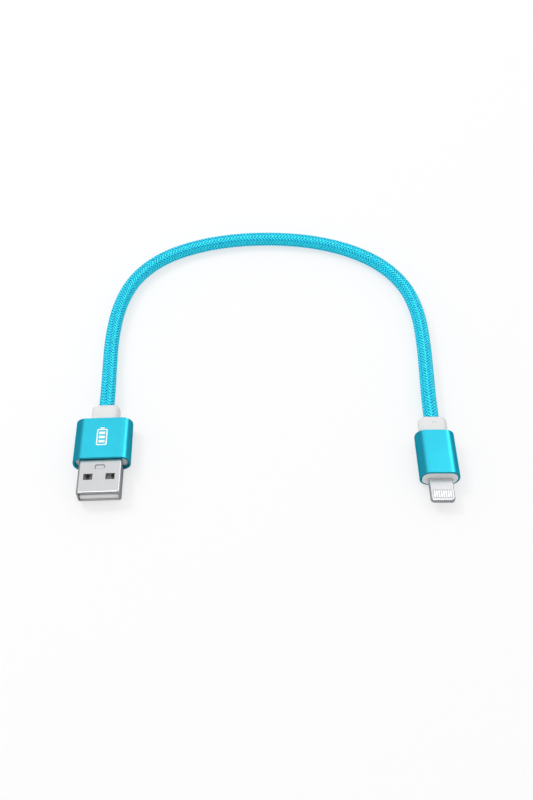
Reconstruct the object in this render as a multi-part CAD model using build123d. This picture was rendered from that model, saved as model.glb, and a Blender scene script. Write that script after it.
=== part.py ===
from build123d import *
import os
from math import cos, radians, sin, tan

# A short braided charging cable: a flat host plug and a slim device plug, each in an
# anodised aluminium sleeve over a white moulded body, joined by a four-wire cable.
# Millimetres.  The plugs lie flat on z = 0 and point towards -Y, the cable arches round
# behind them, and the origin is on the resting surface midway between the two plugs.
# Each plug is drawn on its own axes, with the rear face of its sleeve at y = 0 and its
# tip towards -Y, and is then set in place.

# Where the plugs lie
host_x = -46.3
host_y = 10.7
host_turn = 2.3          # degrees, the tip turned slightly towards the device plug
device_x = 48.8
device_y = 6.5
device_turn = 0.0

# Both plugs
sleeve_height = 6.5
sleeve_corner = 2.9
sleeve_edge_break = 0.12
sleeve_rear_recess = 0.2       # moulded body behind the rear rim of the sleeve
sleeve_fit = 0.05              # clearance between the moulded body and the sleeve
axis_height = sleeve_height / 2

collar_width = 8.2
collar_height = 5.0
collar_length = 5.6
collar_corner = 2.1
collar_rear_round = 1.1
cable_bore_depth = 3.0         # how far the braid runs into the collar

crimp_outer = 4.4
crimp_rear = -1.0
crimp_front = -3.6

can_wall = 0.25
can_rear = -4.0

# Host plug
host_sleeve_width = 16.2
host_sleeve_length = 13.9
host_sleeve_wall = 0.7
host_body_recess = 0.9         # moulded body behind the front rim of the sleeve

shell_width = 12.0
shell_height = 4.5
shell_wall = 0.3
shell_corner = 0.6
shell_exposed = 10.8
shell_rear = -8.5
shell_lip = 0.5                # length of the turned-in front lip
shell_front = -host_sleeve_length - shell_exposed

window_width = 2.5
window_length = 2.0
window_setback = 4.2
window_spacing = 6.1

dimple_width = 2.8
dimple_length = 1.5
dimple_depth = 0.24
dimple_draft = 45
dimple_setback = 2.35          # from the sleeve's front rim to the dimple's middle

seam_gap = 0.08
seam_key_width = 1.3
seam_key_length = 1.4
seam_key_flare = 0.3

tongue_setback = 0.55
tongue_thickness = 1.9
tongue_fit = 0.05
tongue_block_front = -15.0
tongue_block_rear = -11.6
tongue_lead = 0.2

contact_width = 1.0
contact_thickness = 0.28
contact_proud = 0.02
contact_tail_rear = -9.2
host_contacts = {
    "ground": (-3.5, 1.6),
    "data_plus": (-1.0, 2.6),
    "data_minus": (1.0, 2.6),
    "power": (3.5, 1.6),
}                              # x of each contact, and its setback from the shell's front

host_can_width = 11.3
host_can_height = 3.8
host_can_front = -11.5

symbol_length = 5.6
symbol_width = 3.0
symbol_line = 0.34
symbol_thickness = 0.04
symbol_middle_y = -6.9

# Device plug
device_sleeve_width = 11.2
device_sleeve_length = 14.6
device_sleeve_wall = 0.6
nose_proud = 0.2
nose_round = 0.2
gate_mark_diameter = 1.1
gate_mark_depth = 0.12
gate_mark_y = 2.9

tab_width = 6.7
tab_thickness = 1.5
tab_exposed = 7.25
tab_front_corner = 1.0
tab_edge_round = 0.4
tab_rear = -12.2
tab_front = -device_sleeve_length - nose_proud - tab_exposed

insert_width = 5.2
insert_length = 2.5
insert_setback = 0.9
insert_recess = 0.04
panel_width = 5.2
panel_length = 3.3
panel_depth = 0.05
panel_gap = 0.15               # between the contact insert and the panel

pad_count = 8
pad_pitch = 0.63
pad_width = 0.4
pad_length = 2.1
pad_setback = 1.1

board_width = 6.4
board_thickness = 0.6
board_rear = -6.6
board_shoulder = -12.1
board_tongue_width = 4.9
board_fit = 0.05
chip_side = 2.6
chip_height = 0.75
chip_y = -10.4
capacitor_size = (0.5, 1.0, 0.5)
capacitor_pitch = 1.1
capacitor_y = -8.4

device_can_width = 8.6
device_can_height = 4.0
device_can_front = -13.4

# Cable
cable_diameter = 4.5
braid_thickness = 0.45
jacket_outer = 3.5
jacket_inner = 2.95
foil_outer = 2.9
foil_inner = 2.76
wire_outer = 0.9
wire_core = 0.46
wire_core_bore = 0.5
wire_offset = 0.6              # of each wire from the cable's middle, each way
jacket_end = -3.9
wire_gather = -4.5             # where the wires spread out of the jacket
wire_bend = 1.2                # bend radius of a wire inside a plug
wire_bare = 1.5                # bare copper at each end of a wire
wire_spread = 2.8              # from the gathering point forward to the bend over a host contact
device_pad_x = 1.9
device_wire_bend_y = -5.8
device_insulation_end = -6.4
solder_film = 0.04             # solder under a bare end
solder_diameter = 0.8
solder_length = 1.2

# The four wires: sideways and upward place in the cable, seen from the host plug
wires = {
    "ground": (-1, -1),
    "data_plus": (-1, 1),
    "data_minus": (1, 1),
    "power": (1, -1),
}

rest_height = 2.3              # middle of the cable where it lies on the surface

# The cable's route, from the host collar to the device collar, seen from above.  It
# leaves each collar level, comes down to the surface and lies there in an arch.
route_on_surface = [
    (-47.5, 31.1), (-48.3, 44.8), (-47.5, 59.3), (-43.5, 72.3), (-35.1, 82.1),
    (-23.3, 88.2), (-10.4, 91.3), (2.7, 92.0), (15.7, 90.7), (28.2, 86.7),
    (39.2, 79.5), (46.6, 69.3), (49.8, 56.7), (50.1, 42.9), (49.5, 28.9),
]
route_lead = 6.0               # level run out of each collar


# ---------- helpers ----------

def bar(width, height, corner, rear, front, mid_x=0.0, mid_z=axis_height):
    """A rounded bar along Y, from rear to front."""
    across = Plane(origin=(mid_x, rear, mid_z), x_dir=(1, 0, 0), z_dir=(0, -1, 0))
    section = RectangleRounded(width, height, corner) if corner else Rectangle(width, height)
    return extrude(across * section, rear - front)


def rod(diameter, rear, front, mid_x=0.0, mid_z=axis_height):
    """A round bar along Y."""
    across = Plane(origin=(mid_x, rear, mid_z), x_dir=(1, 0, 0), z_dir=(0, -1, 0))
    return extrude(across * Circle(diameter / 2), rear - front)


def end_edges(solid, end):
    """The edges of a bar's end face: 0 is its front, -1 its rear."""
    return solid.edges().filter_by_position(
        Axis.Y,
        solid.vertices().sort_by(Axis.Y)[end].Y - 0.001,
        solid.vertices().sort_by(Axis.Y)[end].Y + 0.001,
    )


def set_host(shape):
    """Move a shape from the host plug's own axes to its place."""
    return Pos(host_x, host_y, 0) * Rot(0, 0, host_turn) * shape


def set_device(shape):
    """Move a shape from the device plug's own axes to its place."""
    return Pos(device_x, device_y, 0) * Rot(0, 0, device_turn) * shape


def host_point(x, y, z):
    """A point of the host plug's own axes, in its place."""
    turn = radians(host_turn)
    return Vector(host_x + x * cos(turn) - y * sin(turn), host_y + x * sin(turn) + y * cos(turn), z)


def device_point(x, y, z):
    """A point of the device plug's own axes, in its place."""
    turn = radians(device_turn)
    return Vector(device_x + x * cos(turn) - y * sin(turn), device_y + x * sin(turn) + y * cos(turn), z)


# ---------- pieces that both plugs have ----------

def make_sleeve(width, length, wall):
    """An extruded aluminium sleeve, open at both ends, its rims broken."""
    outside = bar(width, sleeve_height, sleeve_corner, 0, -length)
    inside = bar(width - 2 * wall, sleeve_height - 2 * wall, sleeve_corner - wall, 1, -length - 1)
    sleeve = outside - inside
    rims = end_edges(sleeve, 0) + end_edges(sleeve, -1)
    return chamfer(rims, sleeve_edge_break)


def make_collar():
    """The strain relief behind a sleeve, its rear edge rounded."""
    collar = bar(collar_width, collar_height, collar_corner, collar_length, -1)
    return fillet(end_edges(collar, -1), collar_rear_round)


def make_crimp():
    """The ring clamped round the jacket, with its closing gap below."""
    ring = rod(crimp_outer, crimp_rear, crimp_front) - rod(jacket_outer, 0, -6)
    gap = Pos(0, (crimp_rear + crimp_front) / 2, axis_height - 2) * Box(0.4, 4, 1.6)
    return ring - gap


def make_can_halves(width, height, front):
    """The folded screening can, upper and lower half."""
    can = bar(width, height, 0.5, can_rear, front)
    can -= bar(width - 2 * can_wall, height - 2 * can_wall, 0.3, can_rear + 1, front - 1)
    split = Pos(0, (can_rear + front) / 2, axis_height) * Box(width + 2, can_rear - front + 2, 0.06)
    halves = (can - split).solids().sort_by(Axis.Z)
    return halves[-1], halves[0]


def make_inner_mould(can_width, can_height, front):
    """The hard moulding that fills a screening can and holds the joints in it."""
    return bar(can_width - 2 * can_wall - 0.1, can_height - 2 * can_wall - 0.1, 0.3, can_rear, front)


def cable_bore():
    """The space that the cable fills in a moulded body."""
    braid = rod(cable_diameter, collar_length + 1, collar_length - cable_bore_depth)
    jacket = rod(jacket_outer, collar_length, can_rear - 0.5)
    return braid + jacket


# ---------- host plug ----------

def make_shell():
    """The plug's folded steel shell: lip, retention windows, dimple and seam."""
    outside = bar(shell_width, shell_height, shell_corner, shell_rear, shell_front)
    outside = fillet(end_edges(outside, 0), shell_lip)
    inner_width = shell_width - 2 * shell_wall
    inner_height = shell_height - 2 * shell_wall
    inside = bar(inner_width, inner_height, 0.32, shell_rear + 1, shell_front + shell_lip)
    inside = fillet(end_edges(inside, 0), 0.3)
    mouth = bar(inner_width - 0.44, inner_height - 0.44, 0.3, shell_front + 2, shell_front - 1)
    shell = outside - inside - mouth

    window_y = shell_front + window_setback + window_length / 2
    for side in (-1, 1):
        window = Box(window_width, window_length, shell_height + 2)
        shell -= Pos(side * window_spacing / 2, window_y, axis_height) * window

    top = axis_height + shell_height / 2
    dimple_y = -host_sleeve_length - dimple_setback
    dimple = RectangleRounded(dimple_width, dimple_length, 0.5)
    boss = RectangleRounded(dimple_width - 0.1, dimple_length - 0.1, 0.45)
    shell += Pos(0, dimple_y, top - shell_wall - dimple_depth) * extrude(boss, dimple_depth)
    shell -= Pos(0, dimple_y, top) * extrude(dimple, dimple_depth, dir=(0, 0, -1), taper=dimple_draft)

    key_y = shell_front + 9.0
    seam = Polyline(
        (0, shell_rear + 1),
        (0, key_y),
        (seam_key_width, key_y + seam_key_flare),
        (seam_key_width, key_y - seam_key_length - seam_key_flare),
        (0, key_y - seam_key_length),
        (0, shell_front - 1),
    )
    slit = extrude(trace(seam, seam_gap), 1.0)
    return shell - Pos(0, 0, axis_height - shell_height / 2 - 0.4) * slit


def tongue_top():
    return axis_height - shell_height / 2 + shell_wall + tongue_fit + tongue_thickness


def contact_top():
    return tongue_top() + contact_proud


def make_tongue():
    """The insulating tongue with its block, grooved for the four contacts."""
    inner_width = shell_width - 2 * shell_wall - 2 * tongue_fit
    inner_height = shell_height - 2 * shell_wall - 2 * tongue_fit
    front = shell_front + tongue_setback
    tongue_z = tongue_top() - tongue_thickness / 2
    tongue = bar(inner_width - 0.6, tongue_thickness, 0, tongue_block_front, front, mid_z=tongue_z)
    leading = end_edges(tongue, 0).filter_by(Axis.X)
    tongue = chamfer(leading, tongue_lead)
    tongue += bar(inner_width, inner_height, 0.25, tongue_block_rear, tongue_block_front)
    for x, setback in host_contacts.values():
        groove_z = contact_top() - contact_thickness / 2
        groove_front = shell_front + setback
        tongue -= bar(contact_width, contact_thickness, 0, tongue_block_rear + 1, groove_front, x, groove_z)
    return tongue


def make_contact(x, setback):
    """One contact: a flat strip, its front end turned down into the tongue."""
    strip_z = contact_top() - contact_thickness / 2
    strip = bar(contact_width, contact_thickness, 0, contact_tail_rear, shell_front + setback, x, strip_z)
    return fillet(strip.edges().filter_by(Axis.X).sort_by(Axis.Y)[:2].sort_by(Axis.Z)[-1:], 0.12)


def make_host_overmould(inner):
    """The moulded body inside the host sleeve, with its collar."""
    width = host_sleeve_width - 2 * host_sleeve_wall - 2 * sleeve_fit
    height = sleeve_height - 2 * host_sleeve_wall - 2 * sleeve_fit
    corner = sleeve_corner - host_sleeve_wall - sleeve_fit
    body = bar(width, height, corner, -sleeve_rear_recess, -host_sleeve_length + host_body_recess)
    body += make_collar()
    body -= cable_bore()
    for piece in inner:
        body -= piece
    return body


def make_host_symbol():
    """The pad-printed mark: a plain battery outline with three charge bars."""
    outline = RectangleRounded(symbol_width, symbol_length, 0.5)
    outline -= RectangleRounded(symbol_width - 2 * symbol_line, symbol_length - 2 * symbol_line, 0.2)
    nub = Pos(0, symbol_length / 2 + 0.35) * Rectangle(1.2, 0.4)
    pieces = [outline, nub]
    for step in (-1, 0, 1):
        pieces.append(Pos(0, step * 1.45) * Rectangle(symbol_width - 1.3, 0.85))
    flat = Plane(origin=(0, symbol_middle_y, sleeve_height))
    return Compound([extrude(flat * piece, symbol_thickness).solid() for piece in pieces])


# ---------- device plug ----------

def insert_middle_y():
    return tab_front + insert_setback + insert_length / 2


def make_tab_frame():
    """The steel tab: rounded edges, a through window for the contacts, a pressed panel."""
    length = tab_rear - tab_front
    outline = Rectangle(tab_width, length)
    front_corners = outline.vertices().group_by(Axis.Y)[0]
    outline = fillet(front_corners, tab_front_corner)
    middle = (tab_rear + tab_front) / 2
    tab = Pos(0, middle, axis_height - tab_thickness / 2) * extrude(outline, tab_thickness)
    long_edges = tab.edges().group_by(Axis.Z)[0] + tab.edges().group_by(Axis.Z)[-1]
    rear_y = tab_rear - 0.001
    tab = fillet([edge for edge in long_edges if edge.center().Y < rear_y], tab_edge_round)

    window = Box(insert_width, insert_length, tab_thickness + 2)
    tab -= Pos(0, insert_middle_y(), axis_height) * window
    panel_y = insert_middle_y() + insert_length / 2 + panel_gap + panel_length / 2
    for side in (-1, 1):
        panel = Box(panel_width, panel_length, 2 * panel_depth)
        tab -= Pos(0, panel_y, axis_height + side * tab_thickness / 2) * panel
    slot_width = board_tongue_width + 2 * board_fit
    slot_height = board_thickness + 2 * board_fit
    tab -= bar(slot_width, slot_height, 0, tab_rear + 1, insert_middle_y())
    return tab


def pad_positions():
    first = -(pad_count - 1) / 2 * pad_pitch
    return [first + index * pad_pitch for index in range(pad_count)]


def make_pads(side):
    """The eight contacts of one face of the tab: 1 is the upper face, -1 the lower."""
    low = board_thickness / 2
    high = tab_thickness / 2
    pad_z = axis_height + side * (low + high) / 2
    rear = tab_front + pad_setback + pad_length
    pads = []
    for x in pad_positions():
        pad = bar(pad_width, high - low, 0, rear, tab_front + pad_setback, x, pad_z)
        pads.append(pad.solid())
    return Compound(pads)


def make_insert(board, pads):
    """The insulating insert that fills the tab's window around the contacts."""
    insert = Box(insert_width, insert_length, tab_thickness - 2 * insert_recess)
    insert = Pos(0, insert_middle_y(), axis_height) * insert
    insert -= board
    for group in pads:
        insert -= group
    return insert


def make_board():
    """The circuit board, its narrow tongue reaching into the tab."""
    wide = bar(board_width, board_thickness, 0, board_rear, board_shoulder)
    narrow = bar(board_tongue_width, board_thickness, 0, board_shoulder, tab_front + pad_setback)
    return wide + narrow


def make_chip():
    bottom = axis_height + board_thickness / 2
    chip = Box(chip_side, chip_side, chip_height)
    chip = chamfer(chip.edges().group_by(Axis.Z)[-1], 0.08)
    return Pos(0, chip_y, bottom + chip_height / 2) * chip


def make_capacitors():
    """Three small capacitors in a row behind the chip."""
    width, length, height = capacitor_size
    bottom = axis_height + board_thickness / 2
    row = []
    for step in (-1, 0, 1):
        spot = Pos(step * capacitor_pitch, capacitor_y, bottom + height / 2)
        row.append((spot * Box(width, length, height)).solid())
    return Compound(row)


def make_device_overmould(inner):
    """The moulded body inside the device sleeve: nose in front, collar behind."""
    width = device_sleeve_width - 2 * device_sleeve_wall - 2 * sleeve_fit
    height = sleeve_height - 2 * device_sleeve_wall - 2 * sleeve_fit
    corner = sleeve_corner - device_sleeve_wall - sleeve_fit
    nose = -device_sleeve_length - nose_proud
    body = bar(width, height, corner, -sleeve_rear_recess, nose)
    body = fillet(end_edges(body, 0), nose_round)
    body += make_collar()
    mark_z = axis_height + collar_height / 2 - gate_mark_depth
    body -= Pos(0, gate_mark_y, mark_z) * extrude(Circle(gate_mark_diameter / 2), 1)
    body -= cable_bore()
    for piece in inner:
        body -= piece
    return body


# ---------- cable ----------

def route_points(sideways=0.0, upward=0.0):
    """The route's bends, each moved sideways and upward from the cable's middle."""
    bends = [host_point(0, collar_length + route_lead, axis_height)]
    bends += [Vector(x, y, rest_height) for x, y in route_on_surface]
    bends.append(device_point(0, collar_length + route_lead, axis_height))
    before = [host_point(0, 0, axis_height)] + bends[:-1]
    after = bends[1:] + [device_point(0, 0, axis_height)]
    moved = []
    for bend, back, ahead in zip(bends, before, after):
        way = Vector(ahead.X - back.X, ahead.Y - back.Y, 0).normalized()
        moved.append(bend + Vector(way.Y, -way.X, 0) * sideways + Vector(0, 0, upward))
    return moved


def bend_radii(points):
    """The largest bend radius that the two runs beside each point allow."""
    radii = []
    for back, here, ahead in zip(points, points[1:], points[2:]):
        half_turn = radians((here - back).get_angle(ahead - here) / 2)
        shorter = min((here - back).length, (ahead - here).length)
        radii.append(0.45 * shorter / tan(half_turn))
    return radii


def sweep_tube(path, outer, inner=0.0):
    """A round tube, or a round wire, along a path."""
    start = Plane(origin=path @ 0, z_dir=path % 0)
    section = Circle(outer / 2)
    if inner:
        section -= Circle(inner / 2)
    return sweep(start * section, path=path)


def layer_points(end):
    """The middle line of a layer that runs to the same place inside both plugs."""
    middle = route_points()
    return [host_point(0, end, axis_height)] + middle + [device_point(0, end, axis_height)]


def make_layer(end, radii, outer, inner):
    """One concentric layer of the cable."""
    path = FilletPolyline(*layer_points(end), radius=radii)
    return sweep_tube(path, outer, inner)


def wire_points(name, bare):
    """One wire's line from its host contact to its pad on the board."""
    side, level = wires[name]
    contact_x = host_contacts[name][0]
    core_z = host_core_height()
    pad_z = pad_core_height(level)
    pad_x = -side * device_pad_x
    offset_z = axis_height + level * wire_offset
    points = [
        host_point(contact_x, contact_tail_rear + 0.5 - bare, core_z),
        host_point(contact_x, wire_gather - wire_spread, core_z),
        host_point(side * wire_offset, wire_gather, offset_z),
    ]
    points += route_points(side * wire_offset, level * wire_offset)
    points += [
        device_point(-side * wire_offset, wire_gather, offset_z),
        device_point(pad_x, device_wire_bend_y, pad_z),
        device_point(pad_x, device_insulation_end - bare, pad_z),
    ]
    return points


def wire_paths(name, radii):
    """The line of a wire's insulation, and of the copper that sticks out at both ends."""
    bends = [wire_bend] * 2 + radii + [wire_bend] * 2
    insulated = FilletPolyline(*wire_points(name, 0), radius=bends)
    copper = FilletPolyline(*wire_points(name, wire_bare), radius=bends)
    return insulated, copper


def host_core_height():
    return contact_top() + solder_film + wire_core / 2


def pad_core_height(level):
    """The height of a bare end over the board's upper (1) or lower (-1) face."""
    return axis_height + level * (board_thickness / 2 + solder_film + wire_core / 2)


def make_solder(middles, around):
    """Solder round the bare ends of the wires, flowed on to what they lie on."""
    blobs = []
    for middle in middles:
        blob = Plane(origin=middle, z_dir=(0, -1, 0)) * Circle(solder_diameter / 2)
        blob = extrude(blob, solder_length / 2, both=True)
        blob = fillet(blob.edges(), 0.2)
        for piece in around:
            blob -= piece
        blobs.append(blob.solids().sort_by(SortBy.VOLUME)[-1])
    return Compound(blobs)


# ---------- build ----------

os.makedirs("parts", exist_ok=True)

# The cable, layer by layer
braid_bore = cable_diameter - 2 * braid_thickness
braid_end = collar_length - cable_bore_depth
middle_line = layer_points(braid_end)
radii = bend_radii(middle_line)
route = FilletPolyline(*middle_line, radius=radii)
braid = make_layer(braid_end, radii, cable_diameter, braid_bore)
jacket = make_layer(jacket_end, radii, jacket_outer, jacket_inner)
foil = make_layer(jacket_end, radii, foil_outer, foil_inner)

insulation = {}
wire_fill = {}
cores = []
for name in wires:
    insulated_line, copper_line = wire_paths(name, radii)
    insulation[name] = sweep_tube(insulated_line, wire_outer, wire_core_bore)
    wire_fill[name] = sweep_tube(insulated_line, wire_outer)
    cores.append(sweep_tube(copper_line, wire_core).solid())

braid_section = Circle(cable_diameter / 2).area - Circle(braid_bore / 2).area
print("bend radii", [round(radius, 1) for radius in radii])
print("runs", [round((b - a).length, 1) for a, b in zip(middle_line, middle_line[1:])])
print("cable length outside the collars", round(route.length - 2 * cable_bore_depth, 1))
print("braid volume over section times length", round(braid.volume / (braid_section * route.length), 4))

# The host plug
host_sleeve = set_host(make_sleeve(host_sleeve_width, host_sleeve_length, host_sleeve_wall))
host_shell = set_host(make_shell())
host_tongue = set_host(make_tongue())
host_contact = {name: set_host(make_contact(*place)) for name, place in host_contacts.items()}
host_can = [set_host(half) for half in make_can_halves(host_can_width, host_can_height, host_can_front)]
host_crimp = set_host(make_crimp())
host_symbol = set_host(make_host_symbol())

core_z = host_core_height()
solder_y = contact_tail_rear - solder_length / 2 + 0.1
host_joints = [host_point(x, solder_y, core_z) for x, _ in host_contacts.values()]
host_solder = make_solder(host_joints, cores + list(host_contact.values()))

host_mould = set_host(make_inner_mould(host_can_width, host_can_height, host_can_front))
for piece in cores + list(wire_fill.values()) + list(host_contact.values()) + host_solder.solids():
    host_mould -= piece

shell_space = bar(shell_width, shell_height, shell_corner, shell_rear, shell_front)
host_can_space = bar(host_can_width, host_can_height, 0.5, can_rear, host_can_front)
host_overmould = set_host(make_host_overmould([shell_space, host_can_space, make_crimp()]))
print("host plug made")

# The device plug
board = make_board()
pads = [make_pads(1), make_pads(-1)]
tab = make_tab_frame()
device_sleeve = set_device(make_sleeve(device_sleeve_width, device_sleeve_length, device_sleeve_wall))
device_tab_frame = set_device(tab)
device_insert = set_device(make_insert(board, pads))
device_pads = [set_device(group) for group in pads]
device_board = set_device(board)
device_chip = set_device(make_chip())
device_capacitors = set_device(make_capacitors())
device_can = [
    set_device(half) for half in make_can_halves(device_can_width, device_can_height, device_can_front)
]
device_crimp = set_device(make_crimp())

solder_y = device_insulation_end - wire_bare + solder_length / 2
device_joints = []
for side, level in wires.values():
    device_joints.append(device_point(-side * device_pad_x, solder_y, pad_core_height(level)))
device_solder = make_solder(device_joints, cores + [device_board])

device_mould = set_device(make_inner_mould(device_can_width, device_can_height, device_can_front))
tab_space = set_device(bar(tab_width, tab_thickness, 0, tab_rear, tab_front))
filled = cores + list(wire_fill.values()) + [device_board, device_chip, tab_space]
for piece in filled + device_capacitors.solids() + device_solder.solids():
    device_mould -= piece

device_can_space = bar(device_can_width, device_can_height, 0.5, can_rear, device_can_front)
slot_space = bar(board_tongue_width + 2 * board_fit, board_thickness + 2 * board_fit, 0, tab_rear, tab_front)
device_inner = [device_can_space, tab, slot_space, make_crimp()]
device_overmould = set_device(make_device_overmould(device_inner))
print("device plug made")

nodes = {
    "cable_braid": braid,
    "cable_jacket": jacket,
    "cable_foil_screen": foil,
    "cable_copper_cores": Compound(cores),
    "host_sleeve": host_sleeve,
    "host_plug_shell": host_shell,
    "host_tongue": host_tongue,
    "host_solder_joints": host_solder,
    "host_inner_mould": host_mould,
    "host_screen_upper": host_can[0],
    "host_screen_lower": host_can[1],
    "host_cable_crimp": host_crimp,
    "host_overmould": host_overmould,
    "host_printed_symbol": host_symbol,
    "device_sleeve": device_sleeve,
    "device_tab_frame": device_tab_frame,
    "device_contact_insert": device_insert,
    "device_contacts_upper": device_pads[0],
    "device_contacts_lower": device_pads[1],
    "device_circuit_board": device_board,
    "device_control_chip": device_chip,
    "device_capacitors": device_capacitors,
    "device_solder_joints": device_solder,
    "device_inner_mould": device_mould,
    "device_screen_upper": device_can[0],
    "device_screen_lower": device_can[1],
    "device_cable_crimp": device_crimp,
    "device_overmould": device_overmould,
}
for name in wires:
    nodes[f"cable_wire_{name}"] = insulation[name]
    nodes[f"host_contact_{name}"] = host_contact[name]

for name, shape in nodes.items():
    export_step(shape, f"parts/{name}.step")
print(len(nodes), "nodes written")
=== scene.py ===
import math
import bmesh
import bpy
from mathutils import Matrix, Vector


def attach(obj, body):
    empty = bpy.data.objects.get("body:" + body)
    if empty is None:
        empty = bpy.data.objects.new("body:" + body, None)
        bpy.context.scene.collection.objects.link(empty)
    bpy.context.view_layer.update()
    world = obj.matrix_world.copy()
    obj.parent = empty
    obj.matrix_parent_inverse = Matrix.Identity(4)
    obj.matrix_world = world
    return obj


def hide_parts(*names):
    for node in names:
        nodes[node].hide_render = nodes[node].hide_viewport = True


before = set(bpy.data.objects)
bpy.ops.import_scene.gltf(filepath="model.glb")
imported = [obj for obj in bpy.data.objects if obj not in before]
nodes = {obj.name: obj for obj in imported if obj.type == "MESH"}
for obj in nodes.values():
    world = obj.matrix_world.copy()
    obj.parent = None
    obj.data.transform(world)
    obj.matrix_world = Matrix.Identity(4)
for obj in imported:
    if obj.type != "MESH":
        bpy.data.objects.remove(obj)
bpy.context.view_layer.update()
scene = bpy.context.scene
mm = 0.001
print("frame loaded:", len(nodes), "nodes")

# camera: above and in front of the plugs, looking down at the floor between them and the arch
cameraSetup = {
    "lookAt": Vector((0.0006, 0.0222, 0.0)),
    "distance": 0.2617,
    "elevation": 52.0,
    "lens": 38.97,
}


def makeCamera(setup):
    data = bpy.data.cameras.new("camera")
    data.lens = setup["lens"]
    data.clip_start = 0.01
    camera = bpy.data.objects.new("camera", data)
    scene.collection.objects.link(camera)
    tilt = math.radians(setup["elevation"])
    back = Vector((0, -math.cos(tilt), math.sin(tilt)))
    camera.location = setup["lookAt"] + back * setup["distance"]
    camera.rotation_euler = back.to_track_quat("Z", "Y").to_euler()
    scene.camera = camera


makeCamera(cameraSetup)

# the cord's route, from inside the host collar to inside the device collar
routePoints = [
    (-0.046404, 0.013298, 0.00325), (-0.046766, 0.022291, 0.00325),
    (-0.0475, 0.0311, 0.0023), (-0.0483, 0.0448, 0.0023), (-0.0475, 0.0593, 0.0023),
    (-0.0435, 0.0723, 0.0023), (-0.0351, 0.0821, 0.0023), (-0.0233, 0.0882, 0.0023),
    (-0.0104, 0.0913, 0.0023), (0.0027, 0.0920, 0.0023), (0.0157, 0.0907, 0.0023),
    (0.0282, 0.0867, 0.0023), (0.0392, 0.0795, 0.0023), (0.0466, 0.0693, 0.0023),
    (0.0498, 0.0567, 0.0023), (0.0501, 0.0429, 0.0023), (0.0495, 0.0289, 0.0023),
    (0.0488, 0.0181, 0.00325), (0.0488, 0.0091, 0.00325),
]
cordSetup = {
    "diameter": 4.5 * mm,
    "hostExit": (-0.046525, 0.016295, 0.00325),  # middle of the host collar's rear face
    "strandsEachWay": 12,
    "lead": 13.4 * mm,       # length of one full turn of a strand
    "middleRadius": 2.02 * mm,
    "lift": 0.11 * mm,       # how far a strand rises over and dips under the others
    "halfWidth": 0.33 * mm,
    "halfThickness": 0.12 * mm,
    "stepsPerTurn": 56,
    "sides": 6,
    "columnTurn": 7.5,       # degrees, turns the columns about the cord
    "flatness": 1.8,         # higher makes a strand step up and down more sharply
    "mergeDistance": 0.001 * mm,
    # a dark tube just under the strands, painted shade in the gaps between them
    "shadowTubeRadius": 1.88 * mm,
    "shadowTubeThickness": 0.08 * mm,
    "shadowTubeStep": 0.8 * mm,
    "shadowTubeSides": 24,
}


def readRoute(points):
    # one smooth NURBS line through the route, read back as closely spaced points
    curve = bpy.data.curves.new("cordRoute", "CURVE")
    curve.dimensions = "3D"
    spline = curve.splines.new("NURBS")
    spline.points.add(len(points) - 1)
    for point, place in zip(spline.points, points):
        point.co = (*place, 1.0)
    spline.order_u = 3
    spline.use_endpoint_u = True
    spline.resolution_u = 32
    holder = bpy.data.objects.new("cordRoute", curve)
    scene.collection.objects.link(holder)
    line = bpy.data.meshes.new_from_object(holder)
    places = [vertex.co.copy() for vertex in line.vertices]
    bpy.data.objects.remove(holder)
    bpy.data.meshes.remove(line)
    return places


class RouteWalk:
    # gives the cord's middle and its sideways and upward directions at any distance along it
    def __init__(self, places):
        self.places = places
        self.marks = [0.0]
        for here, ahead in zip(places, places[1:]):
            self.marks.append(self.marks[-1] + (ahead - here).length)
        self.length = self.marks[-1]
        self.last = 0  # where the last search ended, as most calls ask for a place close by

    def at(self, distance):
        distance = min(max(distance, 0.0), self.length)
        low = self.last
        while low > 0 and self.marks[low] > distance:
            low -= 1
        while low < len(self.marks) - 2 and self.marks[low + 1] < distance:
            low += 1
        self.last = low
        share = (distance - self.marks[low]) / (self.marks[low + 1] - self.marks[low])
        middle = self.places[low].lerp(self.places[low + 1], share)
        before = self.places[max(low - 1, 0)]
        after = self.places[min(low + 2, len(self.places) - 1)]
        along = (after - before).normalized()
        side = along.cross(Vector((0, 0, 1))).normalized()
        return middle, along, side, side.cross(along)


route = RouteWalk(readRoute(routePoints))
print("cord route:", round(route.length, 4), "m")


def finishPiece(bm, name):
    mesh = bpy.data.meshes.new(name)
    bm.to_mesh(mesh)
    bm.free()
    mesh.shade_smooth()
    piece = bpy.data.objects.new(name, mesh)
    scene.collection.objects.link(piece)
    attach(piece, "root")
    return piece


def weaveHeight(angle, setup):
    # the braid is two over, two under, so whether a strand is on top depends only on where it
    # is round the cord: twelve lengthwise columns, each way in turn
    columnPairs = setup["strandsEachWay"] / 2
    wave = math.cos(columnPairs * (angle - math.radians(setup["columnTurn"])))
    return math.tanh(setup["flatness"] * wave) / math.tanh(setup["flatness"])


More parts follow.
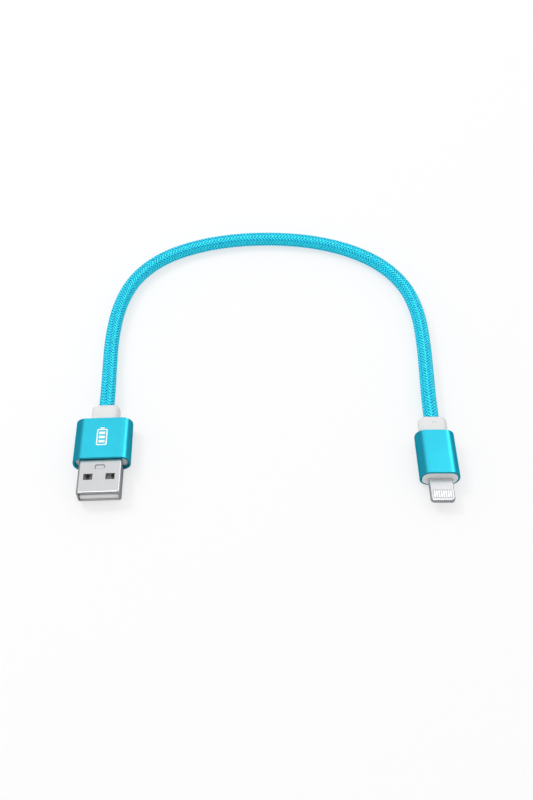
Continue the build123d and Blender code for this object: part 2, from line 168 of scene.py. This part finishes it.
def makeStrands(name, direction, setup):
    bm = bmesh.new()
    bm.loops.layers.uv.new("weave")
    creaseShadeMask = bm.verts.layers.float.new("creaseShadeMask")
    turns = route.length / setup["lead"]
    steps = round(turns * setup["stepsPerTurn"])
    slant = math.atan2(2 * math.pi * setup["middleRadius"], setup["lead"])
    for index in range(setup["strandsEachWay"]):
        made = bmesh.ops.create_grid(
            bm, x_segments=steps, y_segments=setup["sides"], size=0.5, calc_uvs=True)
        for vertex in made["verts"]:
            distance = (vertex.co.x + 0.5) * route.length
            around = (vertex.co.y + 0.5) * 2 * math.pi
            middle, along, side, up = route.at(distance)
            angle = 2 * math.pi * (index / setup["strandsEachWay"] + direction * distance / setup["lead"])
            outward = side * math.cos(angle) + up * math.sin(angle)
            sweepWay = up * math.cos(angle) - side * math.sin(angle)
            across = sweepWay * math.cos(slant) - along * (direction * math.sin(slant))
            over = direction * weaveHeight(angle, setup)
            height = setup["middleRadius"] + setup["lift"] * over
            height += setup["halfThickness"] * math.sin(around)
            # mask for painted light and shade: 1 on the outer crown of a stitch, 0 in the dips where shade
            # falls
            vertex[creaseShadeMask] = (0.5 + 0.5 * over) * (0.5 + 0.5 * math.sin(around))
            vertex.co = middle + outward * height + across * (setup["halfWidth"] * math.cos(around))
        weave = bm.loops.layers.uv.active
        for face in {face for vertex in made["verts"] for face in vertex.link_faces}:
            for loop in face.loops:
                loop[weave].uv.x *= route.length / mm
                loop[weave].uv.y += index
    bmesh.ops.remove_doubles(bm, verts=bm.verts, dist=setup["mergeDistance"])
    bmesh.ops.holes_fill(bm, edges=[edge for edge in bm.edges if edge.is_boundary], sides=0)
    bmesh.ops.recalc_face_normals(bm, faces=bm.faces)
    return finishPiece(bm, name)


# a dark tube just under the strands: painted shade that shows in the gaps between them
def makeShadowTube(setup):
    bm = bmesh.new()
    steps = round(route.length / setup["shadowTubeStep"])
    made = bmesh.ops.create_grid(bm, x_segments=steps, y_segments=setup["shadowTubeSides"], size=0.5)
    for vertex in made["verts"]:
        middle, along, side, up = route.at((vertex.co.x + 0.5) * route.length)
        angle = (vertex.co.y + 0.5) * 2 * math.pi
        outward = side * math.cos(angle) + up * math.sin(angle)
        vertex.co = middle + outward * setup["shadowTubeRadius"]
    bmesh.ops.remove_doubles(bm, verts=bm.verts, dist=setup["mergeDistance"])
    bmesh.ops.recalc_face_normals(bm, faces=bm.faces)
    bmesh.ops.solidify(bm, geom=bm.faces[:], thickness=setup["shadowTubeThickness"])
    return finishPiece(bm, "braidShadowTube")


braidForward = makeStrands("braidForward", 1, cordSetup)
braidBackward = makeStrands("braidBackward", -1, cordSetup)
braidShadowTube = makeShadowTube(cordSetup)
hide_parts("cable_braid")
print("braid:", [len(piece.data.polygons) for piece in (braidForward, braidBackward, braidShadowTube)])


# shader node groups, each a mask, value or height that several finishes share
def newGroup(name, inputs, outputs):
    group = bpy.data.node_groups.new(name, "ShaderNodeTree")
    for label, kind, value in inputs:
        socket = group.interface.new_socket(label, in_out="INPUT", socket_type=kind)
        if value is not None:
            socket.default_value = value
    for label, kind in outputs:
        group.interface.new_socket(label, in_out="OUTPUT", socket_type=kind)
    source = group.nodes.new("NodeGroupInput")
    target = group.nodes.new("NodeGroupOutput")
    return group, source, target


def addMath(tree, operation, first, second=None):
    node = tree.nodes.new("ShaderNodeMath")
    node.operation = operation
    for socket, value in zip(node.inputs, (first, second)):
        if value is None:
            continue
        if isinstance(value, (int, float)):
            socket.default_value = value
        else:
            tree.links.new(value, socket)
    return node.outputs[0]


def addRange(tree, value, low, high):
    node = tree.nodes.new("ShaderNodeMapRange")
    tree.links.new(value, node.inputs["Value"])
    for socket, limit in (("To Min", low), ("To Max", high)):
        if isinstance(limit, (int, float)):
            node.inputs[socket].default_value = limit
        else:
            tree.links.new(limit, node.inputs[socket])
    return node.outputs["Result"]


def makeGrainGroup():
    # fine noise, stretched if wanted, between two values
    group, source, target = newGroup(
        "grain",
        [("Vector", "NodeSocketVector", None), ("Scale", "NodeSocketFloat", 1000.0),
         ("Stretch", "NodeSocketVector", (1.0, 1.0, 1.0)), ("Low", "NodeSocketFloat", 0.0),
         ("High", "NodeSocketFloat", 1.0)],
        [("Value", "NodeSocketFloat")])
    stretch = group.nodes.new("ShaderNodeVectorMath")
    stretch.operation = "MULTIPLY"
    noise = group.nodes.new("ShaderNodeTexNoise")
    noise.inputs["Detail"].default_value = 4.0
    noise.inputs["Roughness"].default_value = 0.6
    group.links.new(source.outputs["Vector"], stretch.inputs[0])
    group.links.new(source.outputs["Stretch"], stretch.inputs[1])
    group.links.new(stretch.outputs[0], noise.inputs["Vector"])
    group.links.new(source.outputs["Scale"], noise.inputs["Scale"])
    result = addRange(group, noise.outputs["Fac"], source.outputs["Low"], source.outputs["High"])
    group.links.new(result, target.inputs["Value"])
    return group


def makeWearGroup():
    # picks out the edges: where a rounded normal leaves the true one
    group, source, target = newGroup(
        "edgeWear",
        [("Vector", "NodeSocketVector", None), ("Radius", "NodeSocketFloat", 0.00015),
         ("Amount", "NodeSocketFloat", 1.0)],
        [("Mask", "NodeSocketFloat")])
    bevel = group.nodes.new("ShaderNodeBevel")
    bevel.samples = 4
    geometry = group.nodes.new("ShaderNodeNewGeometry")
    dot = group.nodes.new("ShaderNodeVectorMath")
    dot.operation = "DOT_PRODUCT"
    noise = group.nodes.new("ShaderNodeTexNoise")
    noise.inputs["Scale"].default_value = 900.0
    group.links.new(source.outputs["Radius"], bevel.inputs["Radius"])
    group.links.new(bevel.outputs["Normal"], dot.inputs[0])
    group.links.new(geometry.outputs["Normal"], dot.inputs[1])
    group.links.new(source.outputs["Vector"], noise.inputs["Vector"])
    away = addMath(group, "SUBTRACT", 1.0, dot.outputs["Value"])
    edge = addMath(group, "MULTIPLY", away, 5.0)
    broken = addMath(group, "MULTIPLY", edge, addRange(group, noise.outputs["Fac"], 0.5, 1.3))
    limited = addMath(group, "MINIMUM", broken, 1.0)
    group.links.new(addMath(group, "MULTIPLY", limited, source.outputs["Amount"]), target.inputs["Mask"])
    return group


def makeFilamentGroup():
    # the parallel filaments of a strand, from its UV map: x in millimetres along, y across; Shade gives a
    # painted shade between the filaments
    group, source, target = newGroup(
        "filaments",
        [("UV", "NodeSocketVector", None), ("Count", "NodeSocketFloat", 10.0)],
        [("Height", "NodeSocketFloat"), ("Shade", "NodeSocketFloat"), ("Strand", "NodeSocketFloat")])
    split = group.nodes.new("ShaderNodeSeparateXYZ")
    group.links.new(source.outputs["UV"], split.inputs[0])
    noise = group.nodes.new("ShaderNodeTexNoise")
    noise.inputs["Scale"].default_value = 1.4
    group.links.new(source.outputs["UV"], noise.inputs["Vector"])
    wander = addMath(group, "MULTIPLY", noise.outputs["Fac"], 0.12)
    across = addMath(group, "ADD", split.outputs["Y"], wander)
    ridges = addMath(group, "MULTIPLY", addMath(group, "MULTIPLY", across, source.outputs["Count"]), 6.2832)
    height = addMath(group, "SINE", ridges)
    group.links.new(height, target.inputs["Height"])
    group.links.new(addRange(group, height, 0.82, 1.0), target.inputs["Shade"])
    strand = group.nodes.new("ShaderNodeTexWhiteNoise")
    strand.noise_dimensions = "1D"
    group.links.new(addMath(group, "FLOOR", split.outputs["Y"]), strand.inputs["W"])
    group.links.new(strand.outputs["Value"], target.inputs["Strand"])
    return group


groups = {"grain": makeGrainGroup(), "edgeWear": makeWearGroup(), "filaments": makeFilamentGroup()}


class Finish:
    # one material: a Principled shader with its coordinates ready to use
    def __init__(self, name, colour, metallic=0.0, roughness=0.4, **settings):
        self.material = bpy.data.materials.new(name)
        self.material.use_nodes = True
        self.tree = self.material.node_tree
        self.shader = self.tree.nodes["Principled BSDF"]
        self.coordinates = self.tree.nodes.new("ShaderNodeTexCoord")
        self.colour = colour
        self.shader.inputs["Base Color"].default_value = (*colour, 1.0)
        self.shader.inputs["Metallic"].default_value = metallic
        self.shader.inputs["Roughness"].default_value = roughness
        for label, value in settings.items():
            self.shader.inputs[label].default_value = value

    def place(self, name, **values):
        node = self.tree.nodes.new("ShaderNodeGroup")
        node.node_tree = groups[name]
        if "Vector" in node.inputs:
            self.tree.links.new(self.coordinates.outputs["Object"], node.inputs["Vector"])
        for label, value in values.items():
            node.inputs[label].default_value = value
        return node

    def mix(self, factor, first, second):
        node = self.tree.nodes.new("ShaderNodeMix")
        node.data_type = "RGBA"
        if isinstance(factor, (int, float)):
            node.inputs["Factor"].default_value = factor
        else:
            self.tree.links.new(factor, node.inputs["Factor"])
        for socket, value in ((node.inputs[6], first), (node.inputs[7], second)):
            if isinstance(value, tuple):
                socket.default_value = (*value, 1.0)
            else:
                self.tree.links.new(value, socket)
        return node.outputs[2]

    def use(self, label, output):
        self.tree.links.new(output, self.shader.inputs[label])

    def bump(self, height, strength, distance):
        node = self.tree.nodes.new("ShaderNodeBump")
        node.inputs["Strength"].default_value = strength
        node.inputs["Distance"].default_value = distance
        self.tree.links.new(height, node.inputs["Height"])
        self.use("Normal", node.outputs["Normal"])


def brighter(colour, factor):
    return tuple(min(channel * factor, 1.0) for channel in colour)


def makeAnodised():
    finish = Finish("anodisedCyan", (0.037, 0.53, 0.66), metallic=1.0, roughness=0.31)
    finish.shader.inputs["Specular Tint"].default_value = (0.3, 0.85, 1.0, 1.0)  # keeps the sides blue
    cloud = finish.place("grain", Scale=160.0, Low=0.0, High=1.0)
    tone = finish.mix(cloud.outputs["Value"], brighter(finish.colour, 0.93), brighter(finish.colour, 1.07))
    wear = finish.place("edgeWear", Radius=0.0001, Amount=0.2)
    finish.use("Base Color", finish.mix(wear.outputs["Mask"], tone, (0.35, 0.80, 0.90)))
    fine = finish.place("grain", Scale=9000.0, Low=0.29, High=0.36)
    finish.use("Roughness", fine.outputs["Value"])
    pits = finish.place("grain", Scale=14000.0)
    finish.bump(pits.outputs["Value"], 0.25, 0.000012)
    return finish.material


def makeSteel(name, colour, roughness, stretch):
    finish = Finish(name, colour, metallic=1.0, roughness=roughness)
    cloud = finish.place("grain", Scale=220.0, Low=0.0, High=1.0)
    tone = finish.mix(cloud.outputs["Value"], brighter(colour, 0.95), brighter(colour, 1.04))
    finish.use("Base Color", tone)
    brushed = finish.place(
        "grain", Scale=420.0, Stretch=stretch, Low=roughness - 0.015, High=roughness + 0.03)
    finish.use("Roughness", brushed.outputs["Value"])
    return finish.material


def makeMoulded(name, colour, roughness=0.5, soft=0.0):
    finish = Finish(name, colour, roughness=roughness)
    finish.shader.inputs["Subsurface Weight"].default_value = soft
    finish.shader.inputs["Subsurface Radius"].default_value = (0.0006, 0.0006, 0.0006)
    cloud = finish.place("grain", Scale=120.0, Low=0.0, High=1.0)
    tone = finish.mix(cloud.outputs["Value"], brighter(colour, 0.97), brighter(colour, 1.02))
    finish.use("Base Color", tone)
    rough = finish.place("grain", Scale=3000.0, Low=roughness - 0.06, High=roughness + 0.08)
    finish.use("Roughness", rough.outputs["Value"])
    texture = finish.place("grain", Scale=6000.0)
    finish.bump(texture.outputs["Value"], 0.2, 0.000015)
    return finish.material


yarn = {
    "metallic": 0.15,
    "roughness": 0.3,
    "filaments": 14.0,       # across one strand
    "paintedLightReach": 2.1,       # higher spreads the painted light on the crown of a stitch further down
    "paintedHollowShade": 0.2,           # brightness of the painted shade in the hollows between stitches
    # brightness of the painted shade between the filaments of a strand
    "filamentGapShade": 0.66,
    "sheen": 0.6,
    "sheenTint": (0.04, 0.60, 1.0, 1.0),
    "glossTint": (0.35, 0.92, 1.0, 1.0),
}


def makeBraid(name, colour):
    # glossy yarn, with painted light on the crown of each stitch and painted shade in the hollows between
    # stitches
    finish = Finish(name, colour, yarn["metallic"], yarn["roughness"], Anisotropic=0.6)
    finish.shader.inputs["Anisotropic Rotation"].default_value = 0.25
    finish.shader.inputs["Specular IOR Level"].default_value = 1.0
    finish.shader.inputs["Specular Tint"].default_value = yarn["glossTint"]
    finish.shader.inputs["Sheen Weight"].default_value = yarn["sheen"]
    finish.shader.inputs["Sheen Tint"].default_value = yarn["sheenTint"]
    uv = finish.tree.nodes.new("ShaderNodeUVMap")
    uv.uv_map = "weave"
    threads = finish.tree.nodes.new("ShaderNodeGroup")
    threads.node_tree = groups["filaments"]
    finish.tree.links.new(uv.outputs["UV"], threads.inputs["UV"])
    threads.inputs["Count"].default_value = yarn["filaments"]
    tangent = finish.tree.nodes.new("ShaderNodeTangent")
    tangent.direction_type = "UV_MAP"
    tangent.uv_map = "weave"
    finish.use("Tangent", tangent.outputs["Tangent"])
    creaseShadeMask = finish.tree.nodes.new("ShaderNodeAttribute")
    creaseShadeMask.attribute_name = "creaseShadeMask"
    # painted light on the stitch crowns, painted shade in the hollows between them
    spread = addMath(finish.tree, "MULTIPLY", creaseShadeMask.outputs["Fac"], yarn["paintedLightReach"])
    paintedLightShare = addMath(finish.tree, "MINIMUM", spread, 1.0)
    strandTone = finish.mix(threads.outputs["Strand"], brighter(colour, 0.9), brighter(colour, 1.1))
    # painted shade between the filaments
    filamentGapShadeTone = brighter(colour, yarn["filamentGapShade"])
    threadTone = finish.mix(threads.outputs["Shade"], filamentGapShadeTone, strandTone)
    finish.use("Base Color", finish.mix(paintedLightShare, brighter(colour, yarn["paintedHollowShade"]), threadTone))
    finish.bump(threads.outputs["Height"], 0.3, 0.00002)
    return finish.material


materials = {
    "anodised": makeAnodised(),
    "plugSteel": makeSteel("platedSteel", (0.575, 0.562, 0.55), 0.30, (1.0, 0.15, 1.0)),
    "tabSteel": makeSteel("satinTabSteel", (0.60, 0.592, 0.585), 0.31, (0.2, 1.0, 1.0)),
    "screenTin": makeSteel("tinnedSheet", (0.62, 0.62, 0.63), 0.35, (1.0, 1.0, 1.0)),
    "solder": makeSteel("solder", (0.66, 0.67, 0.69), 0.30, (1.0, 1.0, 1.0)),
    "platedContact": makeSteel("nickelContact", (0.66, 0.65, 0.63), 0.30, (1.0, 0.2, 1.0)),
    "brightContact": makeSteel("brightContact", (0.94, 0.94, 0.93), 0.30, (1.0, 0.2, 1.0)),
    "copper": makeSteel("bareCopper", (0.86, 0.42, 0.25), 0.3, (1.0, 0.2, 1.0)),
    "foil": makeSteel("screenFoil", (0.78, 0.79, 0.80), 0.4, (1.0, 1.0, 1.0)),
    "whiteMoulding": makeMoulded("whiteMoulding", (0.715, 0.715, 0.71), 0.48, 0.2),
    "tongue": makeMoulded("tonguePlastic", (0.76, 0.76, 0.76), 0.45),
    "insert": makeMoulded("insertPlastic", (0.40, 0.40, 0.41), 0.4),
    "innerMould": makeMoulded("naturalMould", (0.78, 0.76, 0.70), 0.5, 0.3),
    "jacket": makeMoulded("jacketWhite", (0.74, 0.74, 0.73), 0.5),
    "ink": makeMoulded("padPrintWhite", (0.88, 0.90, 0.90), 0.5),
    "board": makeMoulded("boardGreen", (0.02, 0.17, 0.07), 0.3),
    "chip": makeMoulded("chipBlack", (0.02, 0.02, 0.022), 0.5),
    "capacitor": makeMoulded("capacitorTan", (0.40, 0.27, 0.15), 0.35),
    "wireRed": makeMoulded("wireRed", (0.60, 0.03, 0.02), 0.35),
    "wireWhite": makeMoulded("wireWhite", (0.78, 0.78, 0.76), 0.35),
    "wireGreen": makeMoulded("wireGreen", (0.03, 0.36, 0.08), 0.35),
    "wireBlack": makeMoulded("wireBlack", (0.02, 0.02, 0.02), 0.35),
    # the forward yarn is painted lighter than the backward yarn, a painted sheen that sets the braid's
    # columns apart
    "braidForward": makeBraid("braidYarnForward", (0.024, 0.81, 1.0)),
    "braidBackward": makeBraid("braidYarnBackward", (0.014, 0.67, 1.0)),
    "shadowTube": Finish("braidShadow", (0.0, 0.08, 0.16), roughness=0.7).material,
}

nodeFinish = {
    "host_sleeve": "anodised", "device_sleeve": "anodised",
    "host_plug_shell": "plugSteel", "device_tab_frame": "tabSteel",
    "host_tongue": "tongue", "device_contact_insert": "insert",
    "host_overmould": "whiteMoulding", "device_overmould": "whiteMoulding",
    "host_printed_symbol": "ink",
    "device_contacts_upper": "brightContact", "device_contacts_lower": "brightContact",
    "host_solder_joints": "solder", "device_solder_joints": "solder",
    "host_inner_mould": "innerMould", "device_inner_mould": "innerMould",
    "device_circuit_board": "board", "device_control_chip": "chip", "device_capacitors": "capacitor",
    "cable_jacket": "jacket", "cable_foil_screen": "foil", "cable_copper_cores": "copper",
    "cable_wire_power": "wireRed", "cable_wire_data_minus": "wireWhite",
    "cable_wire_data_plus": "wireGreen", "cable_wire_ground": "wireBlack",
}
for name in nodes:
    if name.startswith("host_contact_"):
        nodeFinish[name] = "platedContact"
    if "_screen_" in name or name.endswith("_crimp"):
        nodeFinish.setdefault(name, "screenTin")
for name, finish in nodeFinish.items():
    nodes[name].data.materials.clear()
    nodes[name].data.materials.append(materials[finish])
braidForward.data.materials.append(materials["braidForward"])
braidBackward.data.materials.append(materials["braidBackward"])
braidShadowTube.data.materials.append(materials["shadowTube"])
print("finishes:", len(materials))

# the pale floor and the soft light of a small studio
studio = {
    "floorSide": 6.0,
    "floorColour": (0.30, 0.30, 0.305),
    "floorInGloss": (0.41, 0.43, 0.46),  # the floor as polished parts mirror it
    "floorGlow": 0.64,                    # light coming up through the white table
    "skyOnMatt": 0.88,
    "skyInGloss": (0.40, 0.44, 0.50),
    "lights": [
        # name, place, width, length, radiance, seen by gloss, seen by matt
        ("overheadBox", (-0.12, 0.58, 0.82), 0.84, 0.62, 0.80, True, True),
        ("rightStrip", (0.54, 0.55, 0.66), 0.22, 0.80, 3.1, True, False),
        ("zenithBox", (0.0, -0.08, 1.0), 0.45, 0.62, 5.0, True, False),
        ("leftKey", (-0.55, 0.42, 0.80), 0.24, 0.24, 15.0, False, True),
    ],
}


def mixByRay(tree, ray, elsewhere, seen):
    # one value for rays of that kind, another for the rest
    path = tree.nodes.new("ShaderNodeLightPath")
    node = tree.nodes.new("ShaderNodeMix")
    node.data_type = "RGBA"
    tree.links.new(path.outputs[ray], node.inputs["Factor"])
    for socket, value in ((node.inputs[6], elsewhere), (node.inputs[7], seen)):
        if isinstance(value, tuple):
            socket.default_value = (*value, 1.0)
        else:
            tree.links.new(value, socket)
    return node.outputs[2]


def makeFloor():
    bm = bmesh.new()
    bmesh.ops.create_grid(bm, x_segments=1, y_segments=1, size=studio["floorSide"] / 2)
    mesh = bpy.data.meshes.new("floor")
    bm.to_mesh(mesh)
    bm.free()
    floor = bpy.data.objects.new("floor", mesh)
    scene.collection.objects.link(floor)
    finish = Finish("paleFloor", studio["floorColour"], roughness=0.9)
    finish.shader.inputs["Specular IOR Level"].default_value = 0.1
    finish.shader.inputs["Emission Strength"].default_value = studio["floorGlow"]
    finish.use("Base Color", mixByRay(
        finish.tree, "Is Glossy Ray", studio["floorColour"], studio["floorInGloss"]))
    finish.use("Emission Color", mixByRay(
        finish.tree, "Is Glossy Ray", (1.0, 1.0, 1.0), (0.0, 0.0, 0.0)))
    floor.data.materials.append(finish.material)


def makeLights():
    for name, place, width, length, radiance, gloss, matt in studio["lights"]:
        data = bpy.data.lights.new(name, "AREA")
        data.shape = "RECTANGLE"
        data.size, data.size_y = width, length
        data.energy = radiance * math.pi * width * length
        light = bpy.data.objects.new(name, data)
        light.location = place
        light.rotation_euler = Vector(place).to_track_quat("Z", "Y").to_euler()
        light.visible_glossy = gloss
        light.visible_diffuse = matt
        scene.collection.objects.link(light)
    world = bpy.data.worlds.new("softRoom")
    world.use_nodes = True
    tree = world.node_tree
    matt = (studio["skyOnMatt"],) * 3
    notSeen = mixByRay(tree, "Is Glossy Ray", matt, studio["skyInGloss"])
    seen = mixByRay(tree, "Is Camera Ray", notSeen, (1.0, 1.0, 1.0))
    tree.links.new(seen, tree.nodes["Background"].inputs["Color"])
    scene.world = world


makeFloor()
makeLights()
scene.view_settings.view_transform = "Standard"
scene.cycles.denoising_prefilter = "NONE"  # keeps the stitches of the braid sharp
print("studio ready")
